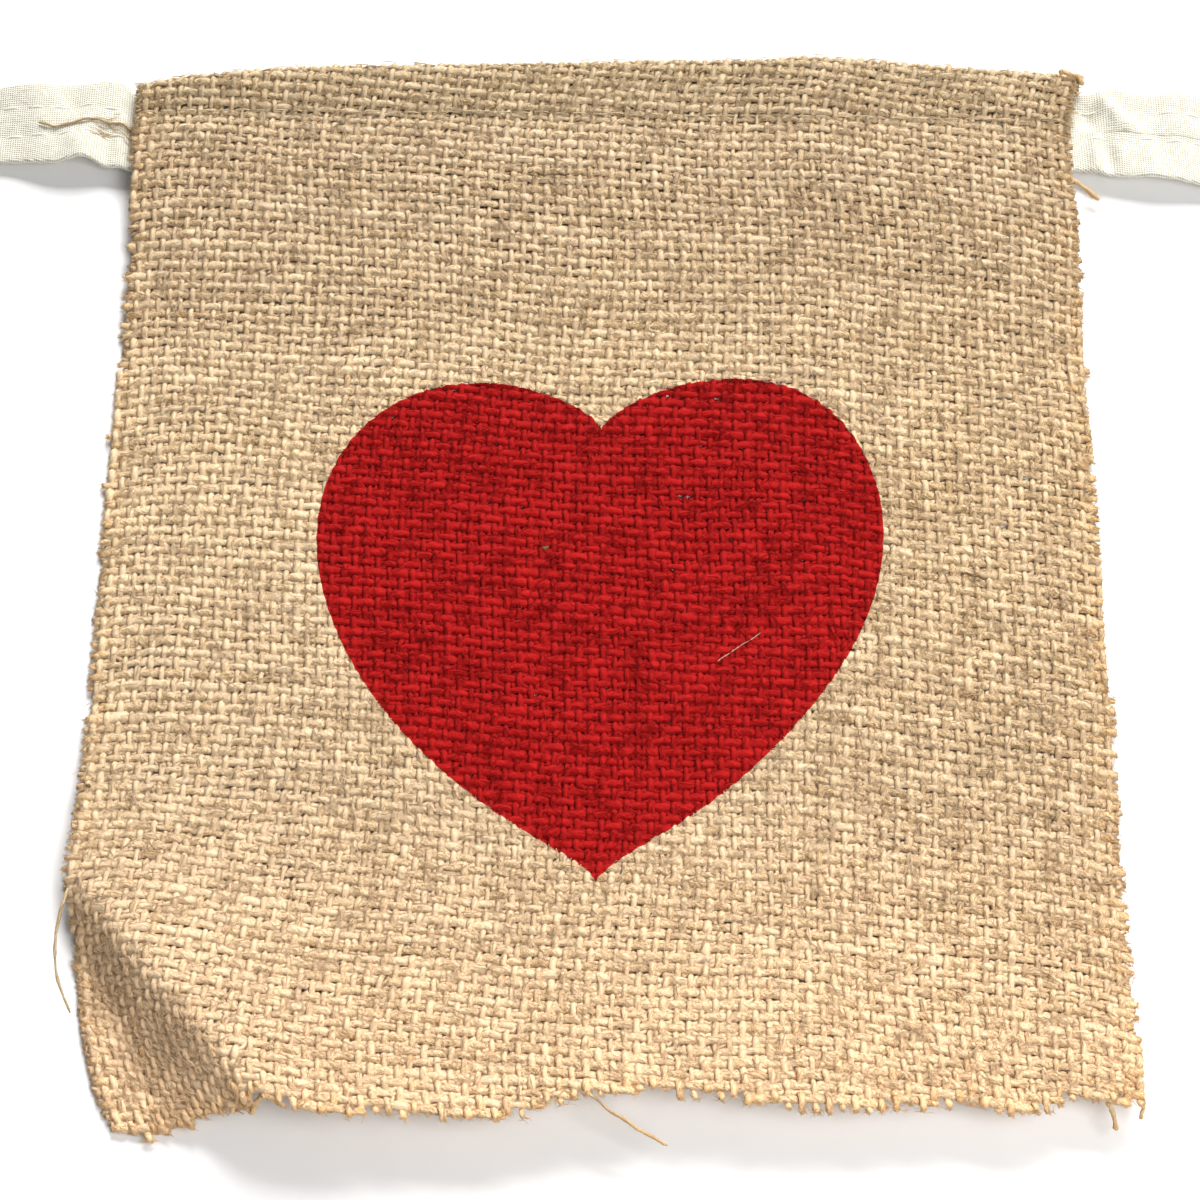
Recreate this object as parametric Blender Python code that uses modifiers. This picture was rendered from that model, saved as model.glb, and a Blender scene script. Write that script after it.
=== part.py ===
"""A burlap flag on a calico tape, as one piece of bunting, lying face up on a flat surface.

Metres in Blender, millimetres in the tables here. +X runs along the tape, +Y runs from the
raw bottom edge to the folded top edge, +Z is up.
"""

import bpy
import numpy as np

MM = 0.001

# The middle of the whole outline in the tables, which becomes y = 0
MIDDLE_Y = -0.65

# The burlap: one sheet, turned over the tape at the top
CLOTH_THICK = 1.2
REST_Z = CLOTH_THICK / 2
TURNED_BELOW_SEAM = 2.5
SEAM_DIP = 0.35
SEAM_WIDTH = 2.0
SLOPE_LENGTH = 46.0
COLUMNS = 37

# The calico: a strip with both raw edges turned in to meet at the middle
TAPE_THICK = 1.2

# The left bottom corner is bent down to the surface past this line
RIDGE_START = (-88.7, -65.5)
RIDGE_END = (-56.7, -102.5)


def table(columns, *rows):
    """A short table: the names of its columns, then one row for each section."""
    return dict(zip(columns.split(), np.array(rows, float).T))


# Across the flag: its folded top line and the height there, the seam through the hem, where it slopes down
# from the tape, its height over the tape, where the raw bottom edge is, its height before the
# corner is bent, and how far from that edge the cloth starts to lift
ACROSS = table(
    "x fold_y fold_z seam_y slope_y tape_z raw_y raw_z lift_from",
    (-90, 101.5, 5.6, 95.0, 84.0, 4.3, -115.6, 24.0, 88),
    (-84, 103.2, 5.8, 94.9, 84.0, 4.4, -116.6, 23.2, 86),
    (-77, 104.3, 5.9, 94.9, 84.0, 4.5, -114.2, 21.0, 82),
    (-68, 105.2, 5.9, 94.9, 84.0, 4.5, -110.4, 16.5, 76),
    (-57, 106.0, 5.9, 94.9, 84.0, 4.5, -107.2, 12.4, 68),
    (-52, 106.2, 5.9, 94.9, 84.0, 4.5, -104.6, 11.2, 64),
    (-46, 106.4, 5.8, 94.9, 84.0, 4.4, -106.6, 10.2, 60),
    (-32, 106.7, 5.7, 94.7, 84.0, 4.4, -107.6, 9.2, 56),
    (-14, 106.9, 5.6, 94.4, 83.8, 4.5, -107.9, 8.4, 55),
    (0, 107.3, 5.6, 94.1, 83.6, 4.6, -104.3, 9.0, 55),
    (22, 107.7, 5.5, 93.6, 83.2, 4.6, -104.6, 8.4, 54),
    (40, 108.4, 5.6, 93.3, 82.8, 4.8, -106.5, 7.6, 54),
    (58, 106.9, 5.2, 93.1, 82.6, 4.5, -105.4, 7.4, 54),
    (71, 105.9, 5.0, 93.0, 82.4, 4.4, -106.6, 7.2, 52),
    (80, 105.3, 4.9, 92.9, 82.2, 4.4, -104.1, 6.6, 52),
    (90, 103.9, 4.8, 92.8, 82.0, 4.3, -105.4, 5.6, 52),
)

# Down the flag: where its two cut sides are
SIDES = table(
    "y left right",
    (-117, -88.6, 89.6),
    (-109, -92.6, 89.6),
    (-98, -95.0, 89.6),
    (-83, -94.0, 89.5),
    (-67, -91.3, 89.5),
    (-30, -90.1, 90.1),
    (10, -90.3, 90.4),
    (43, -89.9, 90.9),
    (70, -89.6, 91.0),
    (80, -90.1, 90.4),
    (98, -90.0, 92.3),
    (104, -89.8, 94.2),
    (108, -89.8, 95.0),
)

# The slope of the cloth across the bend, by how far past the ridge it is
BEND = table(
    "past_ridge slope_deg",
    (-2, 0),
    (2, 54),
    (8, 57),
    (20, 53),
    (31, 27),
    (36, 0),
    (60, 0),
)

# Along the tape: its middle line, its width, its height and its turn about its own length
TAPE = table(
    "x mid_y width mid_z turn_deg",
    (-123, 93.4, 16.6, 0.6, 0),
    (-118, 93.5, 17.0, 1.7, 2),
    (-111, 93.3, 17.6, 3.0, 4),
    (-105, 93.0, 18.4, 3.2, -2),
    (-99, 93.4, 18.0, 3.7, -4),
    (-95, 92.8, 19.4, 3.1, 3),
    (-92.4, 92.4, 19.0, 2.9, 0),
    (-91.1, 91.2, 17.4, 2.55, 0),
    (-88, 91.1, 17.2, 2.55, 0),
    (-80, 91.7, 17.8, 2.55, 0),
    (0, 92.5, 17.8, 2.55, 0),
    (80, 91.6, 17.8, 2.55, 0),
    (94, 91.0, 17.8, 2.55, 0),
    (96.5, 90.9, 18.8, 3.0, -1),
    (100, 90.7, 19.6, 3.2, 2),
    (107, 90.1, 19.6, 3.2, -3),
    (113, 89.6, 20.0, 3.3, 2),
    (118, 89.0, 20.6, 2.2, 1),
    (123, 88.7, 20.8, 0.6, 0),
)

# Half of the tape's section, from its lower edge round to its upper edge: the part of the
# half width, then the part of the half thickness. The dip is where the turned edges meet.
TAPE_FACE = table(
    "across up",
    (-1.00, 0.0),
    (-0.96, 0.8),
    (-0.86, 1.0),
    (-0.14, 1.0),
    (0.00, 0.3),
    (0.14, 1.0),
    (0.86, 1.0),
    (0.96, 0.8),
    (1.00, 0.0),
)


def smooth(rows, by, wanted, at):
    """A column of a table read between its rows, with no corner at a row."""
    where = rows[by]
    value = rows[wanted]
    slope = np.gradient(value, where)
    index = np.clip(np.searchsorted(where, at) - 1, 0, len(where) - 2)
    gap = where[index + 1] - where[index]
    t = np.clip((at - where[index]) / gap, 0.0, 1.0)
    start = value[index] * (1 + 2 * t) * (1 - t) ** 2 + slope[index] * gap * t * (1 - t) ** 2
    end = value[index + 1] * t**2 * (3 - 2 * t) - slope[index + 1] * gap * t**2 * (1 - t)
    return start + end


def ease(value, start, stop):
    """0 at start and 1 at stop, level at both."""
    t = np.clip((value - start) / (stop - start), 0.0, 1.0)
    return t * t * (3 - 2 * t)


def bend_corner(points):
    """Turns the cloth past the ridge down to the surface, keeping its length along the slope."""
    start = np.array(RIDGE_START)
    along = np.array(RIDGE_END) - start
    along /= np.hypot(*along)
    outward = np.array([along[1], -along[0]])
    past = (points[:, :2] - start) @ outward
    steps = np.linspace(BEND["past_ridge"][0], BEND["past_ridge"][-1], 400)
    slope = np.radians(smooth(BEND, "past_ridge", "slope_deg", steps))
    gap = steps[1] - steps[0]
    run = steps[0] + np.concatenate([[0.0], np.cumsum(np.cos(slope[1:]) * gap)])
    fall = np.concatenate([[0.0], np.cumsum(np.sin(slope[1:]) * gap)])
    pulled = past - np.where(past > steps[0], np.interp(past, steps, run), past)
    points[:, :2] -= pulled[:, None] * outward
    height = points[:, 2] - REST_Z
    points[:, 2] -= np.minimum(np.interp(past, steps, fall), height)
    return points


def flag_row(part_across, kind, place):
    """One row of the burlap: on the back, round the fold, from the fold to the seam, or below."""
    x = -90 + 180 * part_across
    fold, fold_z, seam, slope_y, tape_z, raw_y, raw_z, lift_from = (
        smooth(ACROSS, "x", name, x) for name in list(ACROSS)[1:]
    )
    half_gap = (fold_z - REST_Z) / 2
    if kind == "back":
        y = seam - place
        z = REST_Z * np.ones_like(x)
    elif kind == "fold":
        angle = np.radians(place)
        middle = fold - CLOTH_THICK / 2 - half_gap
        y = middle + half_gap * np.cos(angle)
        z = REST_Z + half_gap + half_gap * np.sin(angle)
    else:
        if kind == "hem":
            y = fold - (fold - seam) * place
        elif kind == "seam":
            y = seam - place
        else:
            y = seam - SEAM_ROWS[-1] - (seam - SEAM_ROWS[-1] - raw_y) * place
        slope = 1 - ease(slope_y - y, -2.0, SLOPE_LENGTH - 2.0)
        dip = SEAM_DIP * np.exp(-(((y - seam) / SEAM_WIDTH) ** 2))
        lift = np.clip(1 - (y - raw_y) / lift_from, 0.0, 1.0) ** 1.5
        rise = (fold_z - tape_z) * np.clip((y - seam) / (fold - half_gap - seam), 0.0, 1.0)
        z = REST_Z + (tape_z - REST_Z) * slope + rise - dip + (raw_z - REST_Z) * lift
    left = smooth(SIDES, "y", "left", y)
    right = smooth(SIDES, "y", "right", y)
    return np.column_stack([left + (right - left) * part_across, y, z])


# Millimetres below the seam, degrees round the fold, parts of the way from the fold to the seam,
# millimetres below the seam again, then parts of the way to the raw edge
BACK_ROWS = (TURNED_BELOW_SEAM, -1.5)
FOLD_ROWS = (-90, -45, 0, 45, 90)
HEM_ROWS = (0.52, 0.78, 1.0)
SEAM_ROWS = (2.5, 6.0, 9.0, 12.0, 16.0, 21.0, 27.0, 34.0)
BODY_ROWS = tuple(np.linspace(0.0, 1.0, 31)[1:])


def add_object(name, points, faces, colour, roughness):
    """An object of the bunting, with a material of its own."""
    mesh = bpy.data.meshes.new(name)
    placed = points - np.array([0.0, MIDDLE_Y, 0.0])
    mesh.from_pydata((placed * MM).tolist(), [], faces)
    mesh.update()
    thing = bpy.data.objects.new(name, mesh)
    material = bpy.data.materials.new(name + "_look")
    material.use_nodes = True
    shader = material.node_tree.nodes["Principled BSDF"]
    shader.inputs["Base Color"].default_value = (*colour, 1)
    shader.inputs["Roughness"].default_value = roughness
    mesh.materials.append(material)
    bunting.objects.link(thing)
    return thing


for old in list(bpy.data.objects):
    bpy.data.objects.remove(old, do_unlink=True)
bunting = bpy.data.collections.new("fabric_bunting")
bpy.context.scene.collection.children.link(bunting)

# The flag
part_across = np.linspace(0.0, 1.0, COLUMNS)
rows = [
    flag_row(part_across, kind, place)
    for kind, places in (
        ("back", BACK_ROWS),
        ("fold", FOLD_ROWS),
        ("hem", HEM_ROWS),
        ("seam", SEAM_ROWS),
        ("body", BODY_ROWS),
    )
    for place in places
]
flag_points = bend_corner(np.concatenate(rows))
flag_faces = [
    (r * COLUMNS + c, r * COLUMNS + c + 1, (r + 1) * COLUMNS + c + 1, (r + 1) * COLUMNS + c)
    for r in range(len(rows) - 1)
    for c in range(COLUMNS - 1)
]
flag = add_object("flag", flag_points, flag_faces, (0.58, 0.42, 0.24), 0.95)
thicken = flag.modifiers.new("cloth", "SOLIDIFY")
thicken.thickness = CLOTH_THICK * MM
thicken.offset = 0.0
thicken.use_even_offset = True

# The tape
face = np.column_stack([TAPE_FACE["across"], TAPE_FACE["up"]])
under = np.column_stack([face[-2:0:-1, 0], -np.maximum(face[-2:0:-1, 1], 0.8)])
under[2:-2, 1] = -1.0
ring = np.concatenate([face, under])
stations = np.concatenate(
    [np.linspace(-123, -90, 14), np.linspace(-80, 80, 13), np.linspace(90, 123, 14)]
)
tape_points = []
for x in stations:
    turn = np.radians(smooth(TAPE, "x", "turn_deg", x))
    across = ring[:, 0] * smooth(TAPE, "x", "width", x) / 2
    up = ring[:, 1] * TAPE_THICK / 2
    y = smooth(TAPE, "x", "mid_y", x) + across * np.cos(turn) - up * np.sin(turn)
    z = smooth(TAPE, "x", "mid_z", x) + across * np.sin(turn) + up * np.cos(turn)
    tape_points.append(np.column_stack([np.full(len(ring), x), y, z]))
around = len(ring)
tape_faces = [
    (
        s * around + k,
        (s + 1) * around + k,
        (s + 1) * around + (k + 1) % around,
        s * around + (k + 1) % around,
    )
    for s in range(len(stations) - 1)
    for k in range(around)
]
tape_faces.append(tuple(range(around)))
tape_faces.append(tuple((len(stations) - 1) * around + k for k in reversed(range(around))))
add_object("tape", np.concatenate(tape_points), tape_faces, (0.86, 0.82, 0.74), 0.9)
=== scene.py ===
import math

import bpy
import numpy as np
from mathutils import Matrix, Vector


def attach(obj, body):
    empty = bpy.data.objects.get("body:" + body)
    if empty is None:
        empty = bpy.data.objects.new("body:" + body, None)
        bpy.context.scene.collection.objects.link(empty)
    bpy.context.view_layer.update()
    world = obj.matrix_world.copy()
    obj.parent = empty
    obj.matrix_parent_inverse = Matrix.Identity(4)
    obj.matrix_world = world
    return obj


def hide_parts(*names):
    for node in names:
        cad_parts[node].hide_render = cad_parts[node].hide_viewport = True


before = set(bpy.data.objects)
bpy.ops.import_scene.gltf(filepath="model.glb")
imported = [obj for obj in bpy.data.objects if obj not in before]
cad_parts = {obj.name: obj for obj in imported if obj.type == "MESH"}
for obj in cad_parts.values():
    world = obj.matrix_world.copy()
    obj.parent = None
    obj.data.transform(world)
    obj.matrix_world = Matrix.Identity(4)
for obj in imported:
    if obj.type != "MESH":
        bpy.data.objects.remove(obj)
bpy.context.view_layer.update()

# The camera
# A long lens looks down at the flag from in front of its raw edge, 27 degrees off straight down,
# so the flag narrows a little towards the tape.
EYE = Vector((0.0, -0.25155, 0.4790))
AIM = Vector((0.0, -0.00855, 0.0))
SENSOR_MM = 36.0
LENS_MM = 89.64

camera = bpy.data.objects.new("camera", bpy.data.cameras.new("camera"))
camera.data.sensor_width = SENSOR_MM
camera.data.lens = LENS_MM
camera.data.clip_start = 0.05
camera.location = EYE
camera.rotation_mode = "QUATERNION"
camera.rotation_quaternion = (AIM - EYE).to_track_quat("-Z", "Y")
bpy.context.scene.collection.objects.link(camera)
bpy.context.scene.camera = camera

# The studio
# A white table. The main light is beyond the tape, a little to the right and 40 degrees up. A
# weaker one is in front of the raw edge, and pale light comes from all round.
FLOOR_SIDE = 4.0
FLOOR_Z = -0.0002
LIGHTS = (
    ("main_light", (0.50, 2.30, 1.72), 1.4, 140.0),
    ("near_light", (0.22, -0.25, 0.40), 0.30, 2.0),
)
LIGHT_COLOUR = (1.0, 0.985, 0.965)
ROUND_LIGHT = 0.19
ROUND_COLOUR = (1.0, 0.985, 0.97, 1)

scene = bpy.context.scene
scene.view_settings.view_transform = "Standard"
scene.view_settings.look = "None"


def make_object(name, points, faces, material):
    """A mesh object from points in metres, in the frame of the CAD."""
    mesh = bpy.data.meshes.new(name)
    mesh.from_pydata(points.tolist(), [], faces)
    mesh.materials.append(material)
    mesh.update()
    made = bpy.data.objects.new(name, mesh)
    scene.collection.objects.link(made)
    return made


def new_material(name, roughness):
    """(material, its nodes, its links, its shader) with the constants on the shader."""
    material = bpy.data.materials.new(name)
    material.use_nodes = True
    nodes = material.node_tree.nodes
    shader = nodes["Principled BSDF"]
    shader.inputs["Roughness"].default_value = roughness
    shader.inputs["Specular IOR Level"].default_value = 0.2
    return material, nodes, material.node_tree.links, shader


table_top, nodes, links, shader = new_material("white_table", 0.6)
shader.inputs["Base Color"].default_value = (0.93, 0.93, 0.94, 1)
half = FLOOR_SIDE / 2
corners = [(-half, -half), (half, -half), (half, half), (-half, half)]
floor_points = np.array([(x, y, FLOOR_Z) for x, y in corners])
floor = make_object("floor", floor_points, [(0, 1, 2, 3)], table_top)

for name, at, side, watts in LIGHTS:
    at = Vector(at)
    light = bpy.data.objects.new(name, bpy.data.lights.new(name, "AREA"))
    light.data.size = side
    light.data.energy = watts
    light.data.color = LIGHT_COLOUR
    light.location = at
    light.rotation_mode = "QUATERNION"
    light.rotation_quaternion = (-at).to_track_quat("-Z", "Y")
    scene.collection.objects.link(light)

world = bpy.data.worlds.new("round_light")
world.use_nodes = True
background = world.node_tree.nodes["Background"]
background.inputs["Color"].default_value = ROUND_COLOUR
background.inputs["Strength"].default_value = ROUND_LIGHT
scene.world = world

# The shape of the burlap
# One cut of burlap lies face up, with its top turned over the tape to the back. The raw bottom
# edge is lifted, and its left corner is bent down to the table. Millimetres, as in the CAD.
MM = 0.001
MIDDLE_Y = -0.65
CLOTH_THICK = 1.2
REST_Z = CLOTH_THICK / 2
HALF_WIDTH = 90.0
TURNED_BELOW_SEAM = 2.5
SEAM_DIP = 0.35
SEAM_WIDTH = 2.0
SLOPE_LENGTH = 46.0
LIFT_POWER = 1.5
CUT_SPARE = 12.0
RIDGE_START = (-88.7, -65.5)
RIDGE_END = (-56.7, -102.5)


def rows_of(columns, *rows):
    """A short table: the names of its columns, then one row for each section."""
    return dict(zip(columns.split(), np.array(rows, float).T))


ACROSS = rows_of(
    "x fold_y fold_z seam_y slope_y tape_z raw_y raw_z lift_from",
    (-90, 101.5, 5.6, 95.0, 84.0, 4.3, -115.6, 24.0, 88),
    (-84, 103.2, 5.8, 94.9, 84.0, 4.4, -116.6, 23.2, 86),
    (-77, 104.3, 5.9, 94.9, 84.0, 4.5, -114.2, 21.0, 82),
    (-68, 105.2, 5.9, 94.9, 84.0, 4.5, -110.4, 16.5, 76),
    (-57, 106.0, 5.9, 94.9, 84.0, 4.5, -107.2, 12.4, 68),
    (-52, 106.2, 5.9, 94.9, 84.0, 4.5, -104.6, 11.2, 64),
    (-46, 106.4, 5.8, 94.9, 84.0, 4.4, -106.6, 10.2, 60),
    (-32, 106.7, 5.7, 94.7, 84.0, 4.4, -107.6, 9.2, 56),
    (-14, 106.9, 5.6, 94.4, 83.8, 4.5, -107.9, 8.4, 55),
    (0, 107.3, 5.6, 94.1, 83.6, 4.6, -104.3, 9.0, 55),
    (22, 107.7, 5.5, 93.6, 83.2, 4.6, -104.6, 8.4, 54),
    (40, 108.4, 5.6, 93.3, 82.8, 4.8, -106.5, 7.6, 54),
    (58, 106.9, 5.2, 93.1, 82.6, 4.5, -105.4, 7.4, 54),
    (71, 105.9, 5.0, 93.0, 82.4, 4.4, -106.6, 7.2, 52),
    (80, 105.3, 4.9, 92.9, 82.2, 4.4, -104.1, 6.6, 52),
    (90, 103.9, 4.8, 92.8, 82.0, 4.3, -105.4, 5.6, 52),
)
SIDES = rows_of(
    "y left right",
    (-117, -88.6, 89.6),
    (-109, -92.6, 89.6),
    (-98, -95.0, 89.6),
    (-83, -94.0, 89.5),
    (-67, -91.3, 89.5),
    (-30, -90.1, 90.1),
    (10, -90.3, 90.4),
    (43, -89.9, 90.9),
    (70, -89.6, 91.0),
    (80, -90.1, 90.4),
    (98, -90.0, 92.3),
    (104, -89.8, 94.2),
    (108, -89.8, 95.0),
)
BEND = rows_of(
    "past_ridge slope_deg",
    (-2, 0),
    (2, 54),
    (8, 57),
    (20, 53),
    (31, 27),
    (36, 0),
    (60, 0),
)


def smooth(rows, by, wanted, at):
    """A column of a table read between its rows, with no corner at a row."""
    where = rows[by]
    value = rows[wanted]
    slope = np.gradient(value, where)
    index = np.clip(np.searchsorted(where, at) - 1, 0, len(where) - 2)
    gap = where[index + 1] - where[index]
    t = np.clip((at - where[index]) / gap, 0.0, 1.0)
    start = value[index] * (1 + 2 * t) * (1 - t) ** 2 + slope[index] * gap * t * (1 - t) ** 2
    end = value[index + 1] * t**2 * (3 - 2 * t) - slope[index + 1] * gap * t**2 * (1 - t)
    return start + end


def ease(value, start, stop):
    """0 at start and 1 at stop, level at both."""
    t = np.clip((value - start) / (stop - start), 0.0, 1.0)
    return t * t * (3 - 2 * t)


def bend_corner(points):
    """Turns the cloth past the ridge down to the table, keeping its length along the slope."""
    start = np.array(RIDGE_START)
    along = np.array(RIDGE_END) - start
    along /= np.hypot(*along)
    outward = np.array([along[1], -along[0]])
    past = (points[..., :2] - start) @ outward
    steps = np.linspace(BEND["past_ridge"][0], BEND["past_ridge"][-1], 400)
    slope = np.radians(smooth(BEND, "past_ridge", "slope_deg", steps))
    gap = steps[1] - steps[0]
    run = steps[0] + np.concatenate([[0.0], np.cumsum(np.cos(slope[1:]) * gap)])
    fall = np.concatenate([[0.0], np.cumsum(np.sin(slope[1:]) * gap)])
    pulled = past - np.where(past > steps[0], np.interp(past, steps, run), past)
    points[..., :2] -= pulled[..., None] * outward
    height = points[..., 2] - REST_Z
    points[..., 2] -= np.minimum(np.interp(past, steps, fall), np.maximum(height, 0.0))
    return points


GRID_A = np.arange(-96.0, 96.1, 1.5)
GRID_S = np.arange(-24.0, 230.0, 0.75)


def lay_out_cloth():
    """Points of the cloth's middle on a grid, by the place across and the length below the fold,
    then the lengths at the turned edge, the seam and the raw edge for each place across."""
    grid = np.zeros((len(GRID_A), len(GRID_S), 3))
    lines = np.zeros((3, len(GRID_A)))
    for column, a in enumerate(GRID_A):
        fold, fold_z, seam, slope_y, tape_z, raw_y, raw_z, lift_from = (
            smooth(ACROSS, "x", name, a) for name in list(ACROSS)[1:]
        )
        half_gap = (fold_z - REST_Z) / 2
        middle = fold - CLOTH_THICK / 2 - half_gap
        back_y = np.linspace(seam - TURNED_BELOW_SEAM - CUT_SPARE, middle, 40)[:-1]
        angle = np.radians(np.linspace(-90, 90, 25))
        front_y = np.linspace(middle, raw_y - CUT_SPARE, 700)[1:]
        slope = 1 - ease(slope_y - front_y, -2.0, SLOPE_LENGTH - 2.0)
        dip = SEAM_DIP * np.exp(-(((front_y - seam) / SEAM_WIDTH) ** 2))
        rise = (fold_z - tape_z) * np.clip((front_y - seam) / (middle - seam), 0.0, 1.0)
        lift = np.clip(1 - (front_y - raw_y) / lift_from, 0.0, None) ** LIFT_POWER
        y = np.concatenate([back_y, middle + half_gap * np.cos(angle), front_y])
        z = np.concatenate(
            [
                np.full(len(back_y), REST_Z),
                REST_Z + half_gap + half_gap * np.sin(angle),
                REST_Z + (tape_z - REST_Z) * slope + rise - dip + (raw_z - REST_Z) * lift,
            ]
        )
        run = np.concatenate([[0.0], np.cumsum(np.hypot(np.diff(y), np.diff(z)))])
        run -= run[len(back_y) + len(angle) // 2]
        front = slice(-len(front_y), None)
        lines[0, column] = np.interp(seam - TURNED_BELOW_SEAM, back_y, run[: len(back_y)])
        lines[1, column] = np.interp(-seam, -front_y, run[front])
        lines[2, column] = np.interp(-raw_y, -front_y, run[front])
        y = np.interp(GRID_S, run, y)
        z = np.interp(GRID_S, run, z)
        left = smooth(SIDES, "y", "left", y)
        right = smooth(SIDES, "y", "right", y)
        x = left + (right - left) * (a + HALF_WIDTH) / (2 * HALF_WIDTH)
        grid[column] = np.column_stack([x, y, z])
    return bend_corner(grid), lines


cloth_grid, (TURNED_S, SEAM_S, RAW_S) = lay_out_cloth()
cloth_up = np.cross(np.gradient(cloth_grid, axis=1), np.gradient(cloth_grid, axis=0))
cloth_up /= np.linalg.norm(cloth_up, axis=2, keepdims=True)


def in_frame(points):
    """Points in metres in the frame of the CAD, from millimetres on the table."""
    return (points - np.array([0.0, MIDDLE_Y, 0.0])) * MM


def on_cloth(a, s):
    """(points, upward directions) on the middle of the burlap, at places across and lengths down."""
    i = np.clip((a - GRID_A[0]) / (GRID_A[1] - GRID_A[0]), 0, len(GRID_A) - 1.001)
    k = np.clip((s - GRID_S[0]) / (GRID_S[1] - GRID_S[0]), 0, len(GRID_S) - 1.001)
    i0 = i.astype(int)
    k0 = k.astype(int)
    i = (i - i0)[..., None]
    k = (k - k0)[..., None]
    found = []
    for values in (cloth_grid, cloth_up):
        near = values[i0, k0] * (1 - k) + values[i0, k0 + 1] * k
        far = values[i0 + 1, k0] * (1 - k) + values[i0 + 1, k0 + 1] * k
        found.append(near * (1 - i) + far * i)
    found[1] /= np.linalg.norm(found[1], axis=-1, keepdims=True)
    return found


# The wefts of the burlap
# Spun jute in a plain weave of about 12 threads an inch. The wefts run across, a little downhill
# to the right. Each bulges over every second warp, varies in thickness, and is cut off at the
# raw sides.
WARP_PITCH = 2.13
WEFT_PITCH = 2.09
WARP_LEAN = 0.018
WEFT_SLANT = rows_of(
    "a drop",
    (-100, -1.6),
    (-90, 0.0),
    (-63, 4.4),
    (-38, 7.3),
    (-13, 10.5),
    (13, 12.8),
    (38, 14.7),
    (63, 16.2),
    (90, 18.6),
    (100, 19.6),
)
MIDDLE_WARP = 42.5
HALF_LENGTH = 110.0
FIRST_WEFT, LAST_WEFT = -18, 112
FIRST_WARP, MIDDLE, LAST_WARP = -3, 43, 90
WEFT = dict(wide=1.58, thick=0.78, swing=0.27, stub=(0.1, 1.0), tint=0.04, pale=-0.4)
YARN_SIDES = 5
YARN_LUMPY = 0.15
TWIST_MM = 5.5
RUBBED_END = 0.8
SEAM_PINCH = 0.18
# Each pair says how many crossings one change takes, and how strong it is.
WANDER = ((2.3, 0.06), (0.9, 0.04))
BULK_CHANGES = ((5, 0.10), (1.3, 0.06))
BULK_RANGE = (0.62, 1.5)
TONE_CHANGES = ((9, 0.5), (2, 0.5))

chance = np.random.default_rng(12)
waves = chance.uniform(0, 2 * np.pi, (4, 6))
tilts = chance.uniform(-1, 1, (4, 6, 2))


def drift(kind, u, v, reach):
    """A slow wander of the weave, alike for neighbouring yarns, between about -1 and 1."""
    total = 0.0
    for k in range(6):
        total = total + np.sin(waves[kind, k] + (tilts[kind, k, 0] * u + tilts[kind, k, 1] * v) / reach)
    return total / 2.4


def crossing(u, v):
    """(place across, length down) of the crossing of warp u and weft v."""
    v_mm = v * WEFT_PITCH
    a = (u - MIDDLE_WARP) * WARP_PITCH - WARP_LEAN * (v_mm - HALF_LENGTH)
    a = a + 0.42 * drift(0, u, v, 3.5) + 0.5 * drift(1, u, v, 11)
    s = v_mm + smooth(WEFT_SLANT, "a", "drop", a)
    s = s + 0.42 * drift(2, u, v, 3.2) + 0.6 * drift(3, u, v, 10)
    return a, s


def uneven(count, every, amount):
    """A smooth random run of that many samples, with a new value every so many samples."""
    knots = chance.normal(0, amount, int(count / every) + 4)
    place = np.arange(count) / every + chance.uniform(0, 1)
    whole = place.astype(int)
    t = ease(place - whole, 0.0, 1.0)
    return knots[whole] * (1 - t) + knots[whole + 1] * t


def changes(count, samples, layers):
    """The sum of some uneven runs, each given by its crossings to a change and its strength."""
    return sum(uneven(count, every * samples, amount) for every, amount in layers)


PATTERN_APART = 37.0


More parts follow.
